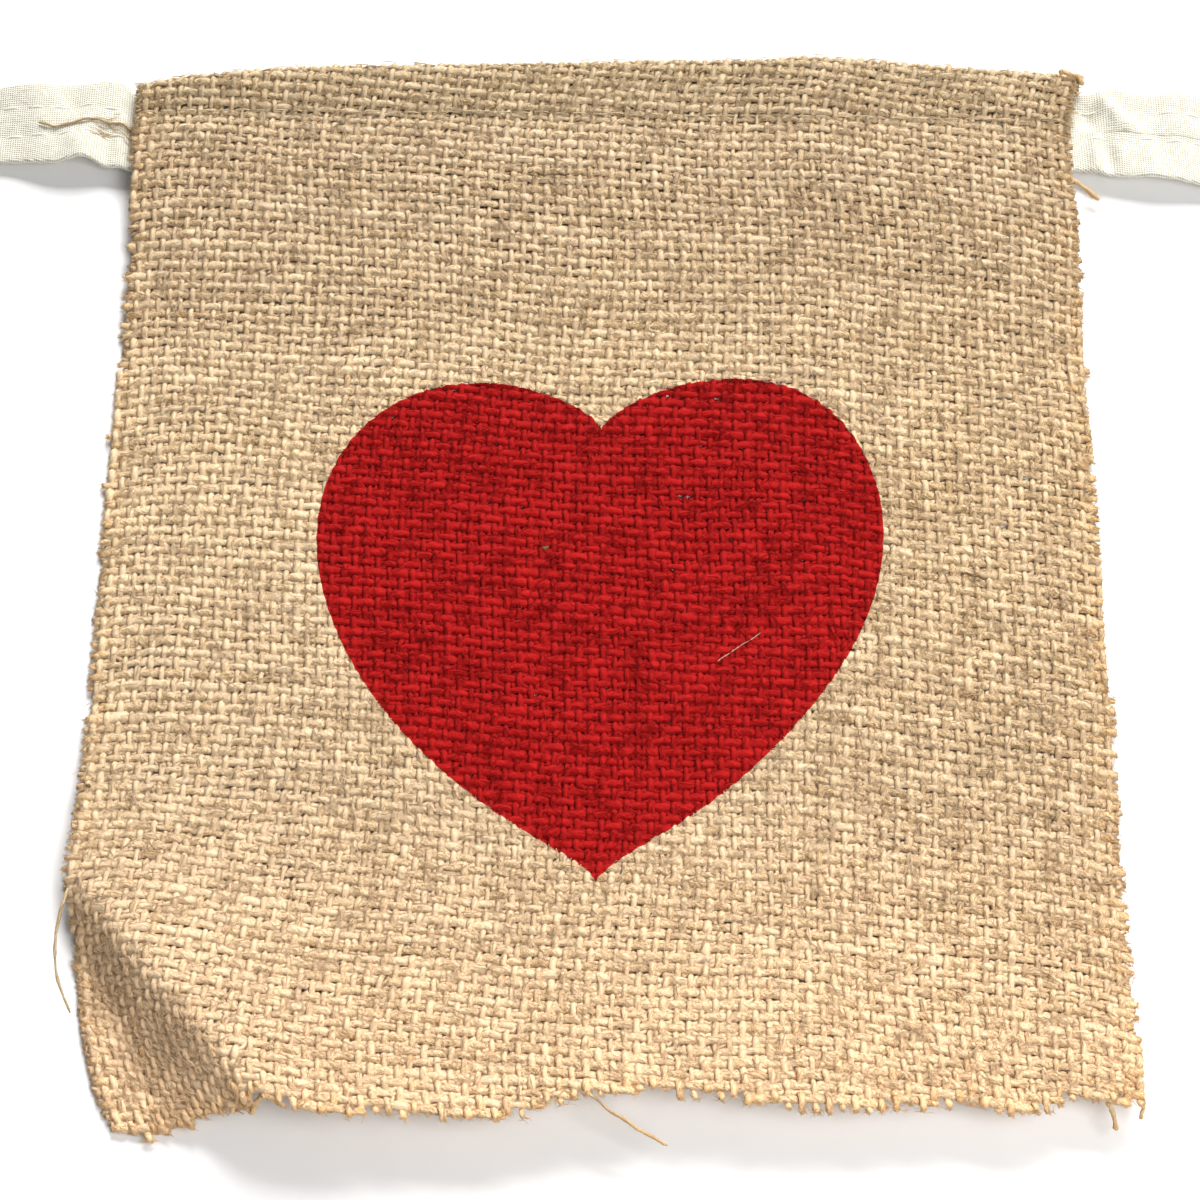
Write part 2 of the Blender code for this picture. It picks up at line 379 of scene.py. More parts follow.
class Yarns:
    """Gathers closed tubes, one for each length of yarn or fibre, into one mesh. Each has its own
    stretch of the fibre pattern, that many millimetres from the next one's."""

    def __init__(self, sides, lumpy):
        self.sides = sides
        self.lumpy = lumpy
        self.points, self.faces = [], []
        self.fields = {"cloth_place": [], "yarn_place": [], "tone": [], "tint": []}
        self.count = 0
        self.number = 0

    def add(self, middle, up, wide, thick, cloth, tone, tint):
        """Tubes of equal numbers of points, in millimetres. The first index is the tube, the
        second the point along it. cloth is (across, down, height) on the flag."""
        many, n = wide.shape
        sides = self.sides
        ahead = np.gradient(middle, axis=1)
        ahead /= np.linalg.norm(ahead, axis=2, keepdims=True) + 1e-9
        side = np.cross(ahead, up)
        side /= np.linalg.norm(side, axis=2, keepdims=True) + 1e-9
        above = np.cross(side, ahead)
        lengths = np.linalg.norm(np.diff(middle, axis=1), axis=2)
        run = np.concatenate([np.zeros((many, 1)), np.cumsum(lengths, axis=1)], axis=1)
        angle = np.pi / 2 + 2 * np.pi * np.arange(sides) / sides
        turned = angle + 2 * np.pi * run[..., None] / TWIST_MM
        lumps = 1 + chance.normal(0, self.lumpy, (many, n, sides))
        out = (np.cos(angle) * wide[..., None] * lumps / 2)[..., None]
        rise = (np.sin(angle) * thick[..., None] * lumps / 2)[..., None]
        ring = middle[:, :, None] + side[:, :, None] * out + above[:, :, None] * rise
        self.points.append(ring.reshape(-1, 3))
        k = np.arange(sides)
        start = self.count + np.arange(many)[:, None] * n * sides
        row = (start + np.arange(n - 1) * sides)[..., None]
        after = (k + 1) % sides
        quads = np.stack([row + k, row + sides + k, row + sides + after, row + after], axis=-1)
        self.faces += quads.reshape(-1, 4).tolist()
        self.faces += (start + k).tolist()
        self.faces += (start + (n - 1) * sides + k[::-1]).tolist()
        offset = out[..., 0]
        place = np.stack(
            [
                cloth[..., 0:1] + offset * side[..., 0:1],
                cloth[..., 1:2] - offset * side[..., 1:2],
                cloth[..., 2:3] + rise[..., 0],
            ],
            axis=-1,
        )
        number = self.number + np.arange(many)[:, None, None]
        along = run[..., None] + PATTERN_APART * number + 0 * turned
        wound = np.stack([np.cos(turned), np.sin(turned), along], axis=-1)
        self.fields["cloth_place"].append(place.reshape(-1))
        self.fields["yarn_place"].append(wound.reshape(-1))
        same = np.ones(sides)
        self.fields["tone"].append((tone[..., None] * same).reshape(-1))
        self.fields["tint"].append((tint[..., None] * same).reshape(-1))
        self.count += many * n * sides
        self.number += many

    def finish(self, name, material, node):
        """The mesh object, which rides on the root and stands for a node of the CAD."""
        points = in_frame(np.concatenate(self.points))
        made = make_object(name, points, self.faces, material)
        for label, parts in self.fields.items():
            vector = label.endswith("place")
            field = made.data.attributes.new(label, "FLOAT_VECTOR" if vector else "FLOAT", "POINT")
            field.data.foreach_set("vector" if vector else "value", np.concatenate(parts).astype(np.float32))
        made.data.polygons.foreach_set("use_smooth", np.ones(len(made.data.polygons), bool))
        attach(made, "root")
        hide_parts(node)
        return made


def cloth_lines(a):
    """The lengths down at the turned edge, at the seam and at the raw bottom edge."""
    return [np.interp(a, GRID_A, line) for line in (TURNED_S, SEAM_S, RAW_S)]


cut_ends = []


def weave_yarn(yarns, index, is_weft, samples, first, last, wide, thick, swing, stub, tint, pale):
    """The lengths of one yarn that lie inside the cut, each with its two cut ends."""
    run = np.arange(first, last, 1 / samples) + 0.5 / samples
    fixed = np.full(len(run), float(index))
    u, v = (run, fixed) if is_weft else (fixed, run)
    a, s = crossing(u, v)
    n = len(run)
    wander = changes(n, samples, WANDER)
    if is_weft:
        s = s + wander
    else:
        a = a + wander
    height = (1.0 if is_weft else -1.0) * swing * np.cos(np.pi * (u + v))
    bulk = np.clip(1 + changes(n, samples, BULK_CHANGES) + chance.normal(0, 0.07), *BULK_RANGE)
    tone = pale + changes(n, samples, TONE_CHANGES) + chance.normal(0, 0.5)
    turned, seam, raw = cloth_lines(a)
    pinch = 1 - SEAM_PINCH * np.exp(-(((s - seam) / 1.6) ** 2))
    out_left, out_right = chance.uniform(*stub, 2)
    low, high = chance.uniform(0.0, 1.6), chance.uniform(-0.6, 1.2)
    inside = (a > -HALF_WIDTH - out_left) & (a < HALF_WIDTH + out_right)
    inside &= (s > turned - low) & (s < raw + (high if not is_weft else -0.2))
    edges = np.flatnonzero(np.diff(np.concatenate([[0], inside.astype(int), [0]])))
    for start, stop in zip(edges[::2], edges[1::2]):
        if stop - start < 4:
            continue
        part = slice(start, stop)
        middle, up = on_cloth(a[part], s[part])
        middle = middle + up * height[part, None]
        taper = np.ones(stop - start)
        taper[[0, -1]] = 0.72
        cloth = np.column_stack([a[part], s[part], height[part]])
        wide_here = wide * bulk[part] * taper * pinch[part]
        thick_here = thick * bulk[part] ** 0.5 * taper * pinch[part]
        steps = np.arange(stop - start)
        ends = tint + RUBBED_END * np.exp(-np.minimum(steps, steps[::-1]) / samples)
        if not is_weft:
            ends = np.where(s[part] > raw[part] - 6, ends, tint)
        one = (middle, up, wide_here, thick_here, cloth, tone[part], ends)
        yarns.add(*(values[None] for values in one))
        if is_weft:
            cut_ends.append((a[start], s[start], height[start], np.pi))
            cut_ends.append((a[stop - 1], s[stop - 1], height[stop - 1], 0.0))
        elif s[stop - 1] > raw[stop - 1] - 4:
            cut_ends.append((a[stop - 1], s[stop - 1], height[stop - 1], np.pi / 2))


def add_math(nodes, links, operation, first, second=None, third=None, clamp=False):
    """A Math node, fed with sockets or numbers. Returns its result."""
    node = nodes.new("ShaderNodeMath")
    node.operation = operation
    node.use_clamp = clamp
    for socket, value in zip(node.inputs, (first, second, third)):
        if value is None:
            continue
        if isinstance(value, (int, float)):
            socket.default_value = value
        else:
            links.new(value, socket)
    return node.outputs[0]


def add_ramp(nodes, links, value, *stops):
    """A Color Ramp over (place, colour) stops. Returns its colour."""
    node = nodes.new("ShaderNodeValToRGB")
    elements = node.color_ramp.elements
    while len(elements) < len(stops):
        elements.new(0.5)
    for element, (place, colour) in zip(elements, stops):
        element.position = place
        element.color = (*colour, 1)
    links.new(value, node.inputs["Fac"])
    return node.outputs["Color"]


def add_mix(nodes, links, amount, first, second, blend="MIX"):
    """A colour Mix node. Each input is a socket or a plain value."""
    node = nodes.new("ShaderNodeMix")
    node.data_type = "RGBA"
    node.blend_type = blend
    for socket, value in ((node.inputs[0], amount), (node.inputs[6], first), (node.inputs[7], second)):
        if isinstance(value, (int, float)):
            socket.default_value = value
        elif isinstance(value, tuple):
            socket.default_value = (*value, 1)
        else:
            links.new(value, socket)
    return node.outputs[2]


def add_field(nodes, name):
    """An Attribute node that reads one of the fields of Yarns."""
    node = nodes.new("ShaderNodeAttribute")
    node.attribute_name = name
    return node.outputs["Vector" if name.endswith("place") else "Fac"]


def add_noise(nodes, links, where, scale, detail, roughness, stretch=(1.0, 1.0, 1.0)):
    """A Noise node read at a place stretched by three factors. Returns its value."""
    node = nodes.new("ShaderNodeVectorMath")
    node.operation = "MULTIPLY"
    node.inputs[1].default_value = stretch
    links.new(where, node.inputs[0])
    noise = nodes.new("ShaderNodeTexNoise")
    noise.inputs["Scale"].default_value = scale
    noise.inputs["Detail"].default_value = detail
    noise.inputs["Roughness"].default_value = roughness
    links.new(node.outputs[0], noise.inputs["Vector"])
    return noise.outputs["Fac"]


def add_bump(nodes, links, shader, height, strength, distance):
    """A Bump node on the shader, which a pattern raises."""
    node = nodes.new("ShaderNodeBump")
    node.inputs["Strength"].default_value = strength
    node.inputs["Distance"].default_value = distance
    links.new(height, node.inputs["Height"])
    links.new(node.outputs["Normal"], shader.inputs["Normal"])


# The jute and the print
# Raw jute is streaked with fibres and rubbed orange at its cut ends. Painted shade darkens it
# towards the hem, and painted light brightens it towards the raw edge and a little at the left.
# A heart is painted through a stencil, on the tops of the yarns.
RAW_JUTE = (
    (0.15, (0.27, 0.175, 0.085)),
    (0.38, (0.50, 0.36, 0.205)),
    (0.58, (0.68, 0.51, 0.32)),
    (0.85, (0.88, 0.72, 0.52)),
)
RUBBED_JUTE = (
    (0.15, (0.46, 0.23, 0.09)),
    (0.50, (0.80, 0.49, 0.22)),
    (0.85, (0.95, 0.70, 0.41)),
)
# Painted shade at the hem and painted light towards the raw edge, by the length down the flag.
PAINTED_LIGHT_DOWN_THE_FLAG = (
    (0.03, (0.93, 0.92, 0.87)),
    (0.10, (0.97, 0.95, 0.92)),
    (0.40, (1.07, 1.04, 0.98)),
    (0.70, (0.99, 0.95, 0.90)),
    (0.97, (1.18, 1.09, 1.01)),
)
RED_PAINT = (
    (0.25, (0.25, 0.002, 0.003)),
    (0.52, (0.46, 0.004, 0.004)),
    (0.78, (0.66, 0.014, 0.010)),
)
TONE_SHARE = 0.10
STREAK_SHARE = 2.9
SPOT_SHARE = 0.35
DARKEST = -0.94
# Painted light: paler at the left and darker at the right, growing down to 100 mm below the fold.
PAINTED_LIGHT_LEFT = -0.9e-5
PAINTED_LIGHT_LEFT_DOWN_TO = 100.0
FLAG_LONG = 220.0
HEART_A = 0.0
HEART_S = 128.0
HEART_UNIT = 45.0
PAINT_DEPTH = (-0.55, -0.25)
FIBRE_BUMP = (0.8, 0.0006)

jute, nodes, links, shader = new_material("jute_yarn", 0.85)
cloth_place = add_field(nodes, "cloth_place")
yarn_place = add_field(nodes, "yarn_place")
fibres = add_noise(nodes, links, yarn_place, scale=1.9, detail=4.0, roughness=0.74, stretch=(1.0, 1.0, 0.22))
spots = add_noise(nodes, links, cloth_place, scale=0.55, detail=2.0, roughness=0.5)
tint = add_field(nodes, "tint")
place = nodes.new("ShaderNodeSeparateXYZ")
links.new(cloth_place, place.inputs[0])
across, down, height = place.outputs

shade = add_math(nodes, links, "MULTIPLY_ADD", add_field(nodes, "tone"), TONE_SHARE, DARKEST)
shade = add_math(nodes, links, "MULTIPLY_ADD", fibres, STREAK_SHARE, shade)
# Painted light: the jute is paler at the left and darker at the right, more so down the flag.
reached = add_math(nodes, links, "MINIMUM", down, PAINTED_LIGHT_LEFT_DOWN_TO)
leftward = add_math(nodes, links, "MULTIPLY", across, reached)
shade = add_math(nodes, links, "MULTIPLY_ADD", leftward, PAINTED_LIGHT_LEFT, shade)
shade = add_math(nodes, links, "MULTIPLY_ADD", spots, SPOT_SHARE, shade, clamp=True)
raw_colour = add_ramp(nodes, links, shade, *RAW_JUTE)
raw_colour = add_mix(nodes, links, tint, raw_colour, add_ramp(nodes, links, shade, *RUBBED_JUTE))

# Painted shade and painted light down the flag, multiplied into the jute's colour.
painted_light_down_flag = add_ramp(nodes, links, add_math(nodes, links, "MULTIPLY", down, 1 / FLAG_LONG), *PAINTED_LIGHT_DOWN_THE_FLAG)
raw_colour = add_mix(nodes, links, 1.0, raw_colour, painted_light_down_flag, "MULTIPLY")

# Inside the heart, the cube of (x*x + y*y - 1) is less than x*x*y*y*y.
x = add_math(nodes, links, "MULTIPLY_ADD", across, 1 / HEART_UNIT, -HEART_A / HEART_UNIT)
y = add_math(nodes, links, "MULTIPLY_ADD", down, -1 / HEART_UNIT, HEART_S / HEART_UNIT)
xx = add_math(nodes, links, "MULTIPLY", x, x)
yy = add_math(nodes, links, "MULTIPLY", y, y)
ball = add_math(nodes, links, "SUBTRACT", add_math(nodes, links, "ADD", xx, yy), 1.0)
cube = add_math(nodes, links, "MULTIPLY", add_math(nodes, links, "MULTIPLY", ball, ball), ball)
lobe = add_math(nodes, links, "MULTIPLY", add_math(nodes, links, "MULTIPLY", xx, yy), y)
inside = add_math(nodes, links, "LESS_THAN", cube, lobe)
soaked = nodes.new("ShaderNodeMapRange")
soaked.inputs["From Min"].default_value, soaked.inputs["From Max"].default_value = PAINT_DEPTH
links.new(height, soaked.inputs["Value"])
paint = add_math(nodes, links, "MULTIPLY", inside, soaked.outputs[0])
red = add_ramp(nodes, links, fibres, *RED_PAINT)
links.new(add_mix(nodes, links, paint, raw_colour, red), shader.inputs["Base Color"])
add_bump(nodes, links, shader, fibres, *FIBRE_BUMP)

wefts = Yarns(YARN_SIDES, YARN_LUMPY)
for index in range(FIRST_WEFT, LAST_WEFT):
    weave_yarn(wefts, index, True, 2, FIRST_WARP + 1, LAST_WARP, **WEFT)
flag = wefts.finish("flag_wefts", jute, "flag")

# The warps of the burlap
# The same jute, a little thinner and paler. The warps run up and down, and show as short knuckles
# that bulge over every second weft. They turn over the tape and end at the turned edge.
WARP = dict(wide=1.20, thick=0.78, swing=0.44, stub=(-0.4, -0.3), tint=0.20, pale=1.0)

for name, first, last in (("flag_warps_left", FIRST_WARP, MIDDLE), ("flag_warps_right", MIDDLE, LAST_WARP)):
    warps = Yarns(YARN_SIDES, YARN_LUMPY)
    for index in range(first, last):
        weave_yarn(warps, index, False, 3, FIRST_WEFT, LAST_WEFT, **WARP)
    warps.finish(name, jute, "flag")

# The fibres in the gaps of the weave
# Loose jute fibres lie across every gap between the yarns, low down. Their dark tone is painted
# shade, lightened down the flag as painted light. They lie thicker along the fold, and where the
# paint has stuck them together.
GAP_WIDE = 1.45
GAP_LONG = 1.95
FOLD_REACH = 6.0
PAINT_HALF_WIDTH = 50.0
PAINT_FROM, PAINT_TO = 78.0, 176.0


def fibre_tubes(
    yarns, a, s, heading, length, height, wide, flat, tone, tint, points=4, curl=0.9, rough=0.08, ends=0.4
):
    """Bent fibres on the burlap. Every value up to tint, apart from flat, is one for each fibre."""
    steps = np.linspace(-0.5, 0.5, points)
    turn = heading[:, None] + chance.normal(0, curl, len(a))[:, None] * steps
    a = a[:, None] + steps * length[:, None] * np.cos(turn)
    s = s[:, None] + steps * length[:, None] * np.sin(turn)
    height = height[:, None] + chance.normal(0, rough, a.shape)
    middle, up = on_cloth(a, s)
    middle = middle + up * height[..., None]
    taper = np.ones(points)
    taper[[0, -1]] = ends
    wide = wide[:, None] * taper
    same = np.ones(points)
    cloth = np.stack([a, s, height], -1)
    yarns.add(middle, up, wide, wide * flat, cloth, tone[:, None] * same, tint[:, None] * same)


gaps_across = np.arange(FIRST_WARP + 0.5, LAST_WARP)
gaps_down = np.arange(FIRST_WEFT + 0.5, LAST_WEFT)
u, v = (grid.ravel() for grid in np.meshgrid(gaps_across, gaps_down))
a, s = crossing(u, v)
turned, seam, raw = cloth_lines(a)
kept = (np.abs(a) < HALF_WIDTH - 0.4) & (s > turned + 1) & (s < raw - 1.5)
a, s = a[kept], s[kept]
single = len(a)
painted = (np.abs(a) < PAINT_HALF_WIDTH) & (s > PAINT_FROM) & (s < PAINT_TO)
again = (np.abs(s) < FOLD_REACH) | painted
a, s = np.concatenate([a, a[again]]), np.concatenate([s, s[again]])
many = len(a)
gap_fibres = Yarns(3, 0.0)
fibre_tubes(
    gap_fibres,
    a + chance.normal(0, 0.12, many),
    s + chance.normal(0, 0.12, many),
    heading=chance.normal(0, 0.3, many) + np.where(np.arange(many) < single, 0.0, np.pi / 2),
    length=GAP_LONG * chance.uniform(0.8, 1.2, many),
    height=chance.uniform(-0.30, -0.10, many) + 0.15 * s / FLAG_LONG,
    wide=GAP_WIDE * chance.uniform(0.95, 1.35, many),
    flat=0.3,
    # Painted shade: a dark tone in the gaps, lightened down the flag as painted light.
    tone=chance.normal(-1.8, 0.6, many) + s / 48,
    tint=chance.uniform(0.0, 0.2, many),
    points=3,
    rough=0.04,
    ends=0.85,
)
gap_fibres.finish("flag_gap_fibres", jute, "flag")

# The fuzz of the jute
# Fine ends of fibre stand out of every yarn, mostly along it. They catch the light.
FUZZ = 11500
FUZZ_THICK = 0.17

many = FUZZ
a = chance.uniform(-HALF_WIDTH + 0.5, HALF_WIDTH - 0.5, many)
turned, seam, raw = cloth_lines(a)
s = 2.0 + (raw - 3.0) * chance.uniform(0, 1, many)
fuzz = Yarns(3, 0.0)
fibre_tubes(
    fuzz,
    a,
    s,
    heading=chance.choice([0.0, np.pi / 2], many, p=[0.65, 0.35]) + chance.normal(0, 0.6, many),
    length=chance.uniform(1.6, 5.5, many),
    height=chance.uniform(0.78, 1.10, many),
    wide=FUZZ_THICK * chance.uniform(0.7, 1.5, many),
    flat=1.0,
    tone=chance.normal(3.5, 2.4, many),
    tint=chance.uniform(0.0, 0.35, many),
    points=3,
)
fuzz.finish("flag_fuzz", jute, "flag")

# The frayed ends of the burlap
# Each cut yarn opens at its end into a few fibres, rubbed to a warmer colour. They start a little
# inside the cut, and spread more along the bottom edge.
FIBRES_AN_END = 8
START_INSIDE = 0.25
BOTTOM_SPREAD = 1.7

ends = np.repeat(np.array(cut_ends), FIBRES_AN_END, axis=0)
many = len(ends)
end_a, end_s, _, way = ends.T
heading = way + chance.normal(0, 0.5, many) * np.where(way == np.pi / 2, BOTTOM_SPREAD, 1.0)
length = chance.uniform(1.0, 2.4, many)
frayed = Yarns(3, 0.0)
beside = chance.normal(0, 0.5, many)
fibre_tubes(
    frayed,
    end_a - START_INSIDE * length * np.cos(heading) + beside * np.sin(way),
    end_s - START_INSIDE * length * np.sin(heading) + beside * np.cos(way),
    heading=heading,
    length=length,
    height=chance.uniform(-0.35, 0.55, many),
    wide=chance.uniform(0.10, 0.22, many),
    flat=1.0,
    tone=chance.normal(1.5, 1.2, many),
    tint=chance.uniform(0.4, 1.0, many),
    rough=0.12,
)

# The fringe of the hem
# On the hem the cut ends of the wefts are pressed flat and lie close, in a warm fringe down both
# sides, more of it at the right.
FRINGE_RIGHT, FRINGE_LEFT = 120, 70
FRINGE_FROM, FRINGE_TO = -3.0, 17.0

many = FRINGE_RIGHT + FRINGE_LEFT
at_right = np.arange(many) < FRINGE_RIGHT
a = np.where(at_right, chance.uniform(89.0, 90.3, many), chance.uniform(-90.0, -89.2, many))
fibre_tubes(
    frayed,
    a,
    chance.uniform(FRINGE_FROM, FRINGE_TO, many),
    heading=chance.normal(0.1, 0.4, many),
    length=chance.uniform(0.8, 2.2, many),
    height=chance.uniform(0.5, 1.05, many),
    wide=chance.uniform(0.16, 0.36, many),
    flat=0.6,
    tone=chance.normal(6.0, 2.0, many),
    tint=chance.uniform(0.5, 1.0, many),
    points=3,
)
frayed.finish("flag_frayed_ends", jute, "flag")

# The tape
# A strip of unbleached calico, with both raw edges turned in to meet at the middle, on the front.
# It passes through the fold of the burlap and is a little rumpled where it comes out.
TAPE = rows_of(
    "x mid_y width mid_z turn_deg",
    (-123, 93.4, 16.6, 0.6, 0),
    (-118, 93.5, 17.0, 1.7, 2),
    (-111, 93.3, 17.6, 3.0, 4),
    (-105, 93.0, 18.4, 3.2, -2),
    (-99, 93.4, 18.0, 3.7, -4),
    (-95, 92.8, 19.4, 3.1, 3),
    (-92.4, 92.4, 19.0, 2.9, 0),
    (-91.1, 91.2, 17.4, 2.55, 0),
    (-88, 91.1, 17.2, 2.55, 0),
    (-80, 91.7, 17.8, 2.55, 0),
    (0, 92.5, 17.8, 2.55, 0),
    (80, 91.6, 17.8, 2.55, 0),
    (94, 91.0, 17.8, 2.55, 0),
    (96.5, 90.9, 18.8, 3.0, -1),
    (100, 90.7, 19.6, 3.2, 2),
    (107, 90.1, 19.6, 3.2, -3),
    (113, 89.6, 20.0, 3.3, 2),
    (118, 89.0, 20.6, 2.2, 1),
    (123, 88.7, 20.8, 0.6, 0),
)
CALICO_THICK = 0.34
FLAP_UP = 0.30
BACK_DOWN = -0.36
EDGE_ROUND = 0.33
RUMPLES = rows_of(
    "x y long wide up",
    (-113.5, -3.0, 2.6, 7.0, -0.35),
    (-107.0, 4.5, 2.2, 3.5, 0.40),
    (-103.0, 5.5, 1.8, 3.0, -0.45),
    (-101.0, -5.0, 2.4, 4.0, 0.45),
    (-97.0, -4.5, 2.0, 4.0, -0.40),
    (-98.0, 5.0, 1.6, 3.5, 0.35),
    (95.0, 3.4, 1.8, 2.6, -1.70),
    (98.0, 6.6, 1.1, 2.0, 1.10),
    (99.9, 4.0, 1.2, 1.9, 1.50),
    (102.2, 1.6, 1.4, 1.7, 1.20),
    (95.6, -5.6, 1.1, 3.4, 0.70),
    (98.2, -5.4, 1.1, 3.8, -1.60),
    (100.8, -5.6, 1.2, 3.4, 0.70),
    (105.5, 4.5, 1.8, 2.6, -0.60),
    (106.5, -4.5, 1.6, 3.0, 0.35),
    (108.5, -3.5, 2.4, 4.0, -0.35),
    (112.0, 4.0, 2.4, 4.0, 0.30),
)
STITCH_ROWS = rows_of(
    "x upper lower",
    (-123, 3.3, -3.0),
    (-92, 3.6, -2.6),
    (92, 5.0, -1.6),
    (123, 5.4, -1.2),
)
STITCH_PITCH = 5.0
STITCH_FROM = {"upper": -122.1, "lower": -121.0}
PUCKER = 0.34
PUCKER_WIDE = 1.2
THREAD = 0.46
FLAPS_APART = (0.01, 0.10)
CALICO_COLOURS = (
    (0.15, (0.48, 0.44, 0.34)),
    (0.42, (0.72, 0.70, 0.60)),
    (0.62, (0.84, 0.82, 0.725)),
)
CALICO_BUMP = (0.6, 0.0004)


def tape_point(x, across, up):
    """A point of the tape, at a distance from its middle line and a height above its middle."""
    mid_y, mid_z, turn_deg = (smooth(TAPE, "x", name, x) for name in ("mid_y", "mid_z", "turn_deg"))
    turn = np.radians(turn_deg)
    loose = ease(np.abs(x), 91.0, 95.0) * (1 - ease(np.abs(x), 116.0, 121.0))
    for row in zip(*RUMPLES.values()):
        at_x, at_across, long, wide, rise = row
        up = up + loose * rise * np.exp(-(((x - at_x) / long) ** 2) - ((across - at_across) / wide) ** 2)
    for name in ("upper", "lower"):
        off = across - np.interp(x, STITCH_ROWS["x"], STITCH_ROWS[name])
        draw = 0.55 + 0.45 * np.cos(2 * np.pi * (x - STITCH_FROM[name]) / STITCH_PITCH)
        up = up - PUCKER * draw * np.exp(-((off / PUCKER_WIDE) ** 2)) * (up > 0)
    y = mid_y + across * np.cos(turn) - up * np.sin(turn)
    z = mid_z + across * np.sin(turn) + up * np.cos(turn)
    return np.stack([x + 0 * across, y, z], -1)


def tape_path(half_width, apart):
    """The middle of the calico from one raw edge round the tape to the other, as (across, up).
    The raw edges are twice that distance apart."""
    inner = half_width - EDGE_ROUND
    flap = np.concatenate([[apart], np.linspace(apart + 0.12, inner, 9)])
    flap_up = FLAP_UP - 0.04 * np.exp(-((flap / 0.5) ** 2))
    angle = np.radians([60, 20, -20, -60])
    middle_up = (FLAP_UP + BACK_DOWN) / 2
    bend = np.column_stack([inner + EDGE_ROUND * np.cos(angle), middle_up + EDGE_ROUND * np.sin(angle)])
    back = np.linspace(inner, -inner, 10)
    right = np.column_stack([flap, flap_up])
    return np.concatenate(
        [
            right,
            bend,
            np.column_stack([back, np.full(10, BACK_DOWN)]),
            bend[::-1] * np.array([-1.0, 1.0]),
            right[::-1] * np.array([-1.0, 1.0]),
        ]
    )


calico, nodes, links, shader = new_material("calico", 0.9)
weave_place = add_field(nodes, "cloth_place")
place = nodes.new("ShaderNodeSeparateXYZ")
links.new(weave_place, place.inputs[0])
along, over = (
    add_math(nodes, links, "SINE", add_math(nodes, links, "MULTIPLY", place.outputs[k], math.pi / THREAD))
    for k in range(2)
)
# Painted shade: the holes between the threads of the calico are darkened.
hole_shade = add_math(nodes, links, "MULTIPLY", along, over)
hole_shade = add_math(nodes, links, "MULTIPLY", hole_shade, hole_shade)
slubs = add_noise(nodes, links, weave_place, scale=0.9, detail=4.0, roughness=0.65, stretch=(1.0, 1.6, 1.0))
weave = add_math(nodes, links, "MULTIPLY_ADD", hole_shade, -0.75, slubs)
shade = add_math(nodes, links, "MULTIPLY_ADD", weave, 0.6, 0.28, clamp=True)
links.new(add_ramp(nodes, links, shade, *CALICO_COLOURS), shader.inputs["Base Color"])
add_bump(nodes, links, shader, weave, *CALICO_BUMP)

stations = np.concatenate([np.arange(-123, -88, 0.7), np.arange(-88, 88, 4.0), np.arange(88, 123.01, 0.7)])
rings = []
flat_places = []
for x in stations:
    apart = FLAPS_APART[0] + (FLAPS_APART[1] - FLAPS_APART[0]) * ease(x, 93.0, 101.0)
    path = tape_path(smooth(TAPE, "x", "width", x) / 2, apart)
    ahead = np.gradient(path, axis=0)
    ahead /= np.linalg.norm(ahead, axis=1, keepdims=True)
    normal = np.column_stack([ahead[:, 1], -ahead[:, 0]])
    around = np.concatenate([path + normal * CALICO_THICK / 2, (path - normal * CALICO_THICK / 2)[::-1]])
    rings.append(tape_point(x, around[:, 0], around[:, 1]))
    run = np.concatenate([[0.0], np.cumsum(np.linalg.norm(np.diff(path, axis=0), axis=1))])
    from_edge = np.concatenate([run, run[::-1]])
    flat_places.append(np.column_stack([np.full(len(around), x), from_edge, around[:, 1]]))
size = len(rings[0])
faces = [
    (r * size + k, r * size + (k + 1) % size, (r + 1) * size + (k + 1) % size, (r + 1) * size + k)
    for r in range(len(rings) - 1)
    for k in range(size)
]
faces.append(tuple(range(size))[::-1])
faces.append(tuple((len(rings) - 1) * size + k for k in range(size)))
tape = make_object("tape_calico", in_frame(np.concatenate(rings)), faces, calico)
field = tape.data.attributes.new("cloth_place", "FLOAT_VECTOR", "POINT")
field.data.foreach_set("vector", np.concatenate(flat_places).astype(np.float32).ravel())
tape.data.polygons.foreach_set("use_smooth", np.ones(len(tape.data.polygons), bool))
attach(tape, "root")
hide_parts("tape")

# The stitches of the tape
# Two rows of cream cotton hold down the turned edges, one on each side of the middle.
STITCH_LONG = 3.8
STITCH_THICK = 0.22
STITCH_COUNT = 49
HIDDEN_WITHIN = 92.0
COTTON = (0.95, 0.94, 0.88, 1)


def lay_thread(yarns, middle, up, wide, tone=0.0, tint=0.0):
    """One thread, hair or loose yarn through some points. It takes no part of the print."""
    n = len(middle)
    wide = wide * np.ones((1, n))
    up = np.broadcast_to(up, (n, 3))[None]
    blank = np.zeros((1, n))
    yarns.add(middle[None], up, wide, wide, np.zeros((1, n, 3)), tone + blank, tint + blank)


UPWARD = (0.0, 0.0, 1.0)

cotton, nodes, links, shader = new_material("cotton_thread", 0.7)
shader.inputs["Base Color"].default_value = COTTON
steps = np.linspace(0.0, 1.0, 6)
tape_stitches = Yarns(YARN_SIDES, 0.0)
for row_name in ("upper", "lower"):
    starts = STITCH_FROM[row_name] + STITCH_PITCH * np.arange(STITCH_COUNT)
    for start in starts[np.abs(starts + STITCH_LONG / 2) > HIDDEN_WITHIN]:
        x = start + 0.3 + STITCH_LONG * steps + chance.normal(0, 0.1)
        across = np.interp(x, STITCH_ROWS["x"], STITCH_ROWS[row_name]) + chance.normal(0, 0.12)
        up = FLAP_UP + CALICO_THICK / 2 - 0.02 + 0.10 * np.sin(np.pi * steps) - 0.20 * (steps % 1 == 0)
        lay_thread(tape_stitches, tape_point(x, across + 0 * x, up), UPWARD, STITCH_THICK)
tape_stitches.finish("tape_stitches", cotton, "tape")

# The seam of the hem
# One row of thin thread goes through the burlap and the tape, and draws the weave together.
HEM_PITCH = 3.6
HEM_LONG = 3.0
HEM_THREAD = 0.28
HEM_COLOUR = (0.58, 0.47, 0.31, 1)

